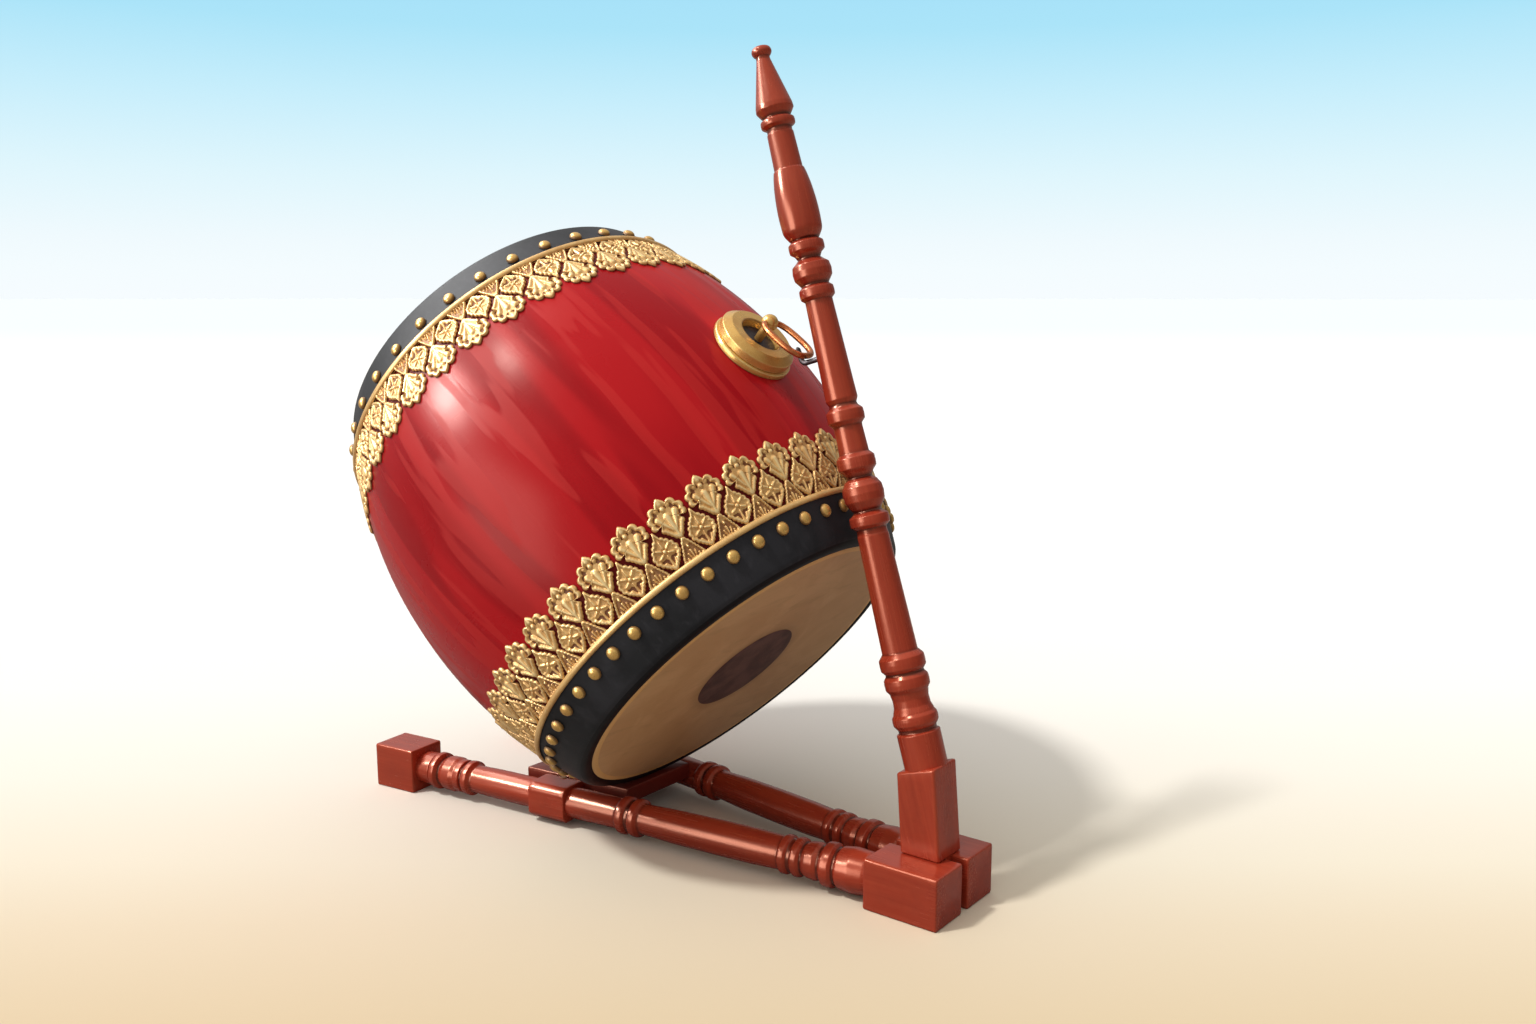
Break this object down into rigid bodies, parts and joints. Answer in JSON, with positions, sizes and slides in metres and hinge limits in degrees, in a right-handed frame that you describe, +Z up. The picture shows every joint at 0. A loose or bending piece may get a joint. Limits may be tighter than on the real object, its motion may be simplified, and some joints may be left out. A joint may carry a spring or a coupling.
{
  "type": "barrel drum on a turned floor stand",
  "caption": "Large lacquered barrel drum with gilt leaf bands, leaning in a low turned wooden stand and held to its post by a ring and hook.",
  "frame": {"origin": "centre of the bounding box in plan, at the surface the stand rests on", "axes": "+X along the stand towards the post and its blocks, +Z up, Y across the stand, whose centre plane is Y = 0"},
  "size_m": [0.8344, 0.5724, 0.9177],
  "materials": {
    "lacquered_barrel": "red lacquer over turned wood, glossy",
    "hide": "scraped hide, semi-matt",
    "black_hide": "blackened hide, satin",
    "patch_paste": "dark tuning paste, matt",
    "gilt": "gilded relief, worn",
    "brass": "polished brass",
    "copper": "polished copper-coloured brass",
    "dark_iron": "dark iron",
    "stained_wood": "red-brown stained and varnished hardwood",
    "dark_stained_wood": "dark red-brown stained hardwood",
    "raw_wood": "bare hardwood"
  },
  "bodies": {
    "stand": {"rail_front": "stained_wood", "rail_back": "stained_wood", "post_block_front": "stained_wood", "post_block_back": "stained_wood", "stand_post": "stained_wood", "cross_board": "dark_stained_wood", "block_dowel_1": "raw_wood", "block_dowel_2": "raw_wood", "board_peg_front": "raw_wood", "board_peg_back": "raw_wood", "post_hook": "dark_iron"},
    "drum": {"drum_shell": "lacquered_barrel", "bottom_hide": "hide", "bottom_skirt": "black_hide", "bottom_patch": "patch_paste", "bottom_studs": "brass", "bottom_hoop": "gilt", "bottom_root_leaves": "gilt", "bottom_diamond_leaves": "gilt", "bottom_fan_leaves": "gilt", "top_hide": "hide", "top_skirt": "black_hide", "top_patch": "patch_paste", "top_studs": "brass", "top_hoop": "gilt", "top_root_leaves": "gilt", "top_diamond_leaves": "gilt", "top_fan_leaves": "gilt", "boss_flange": "brass", "boss_ring": "brass", "boss_inlay": "dark_iron", "ring_bolt": "brass", "bolt_washer": "dark_iron", "bolt_nut": "dark_iron"},
    "ring": {"drum_ring": "copper"}
  },
  "joints": [
    {"name": "drum_lift", "type": "slide", "parent": "stand", "child": "drum", "axis": [-0.4067, 0, 0.9135], "range_m": [0, 0.4]},
    {"name": "ring_swing", "type": "hinge", "parent": "drum", "child": "ring", "pos_m": [0.15519, 0, 0.62075], "axis": [0, 1, 0], "range_deg": [0, 24]}
  ],
  "couplings": [
    {"joint": "ring_swing", "follows": "drum_lift", "rad_per_m": 1.0472}
  ]
}
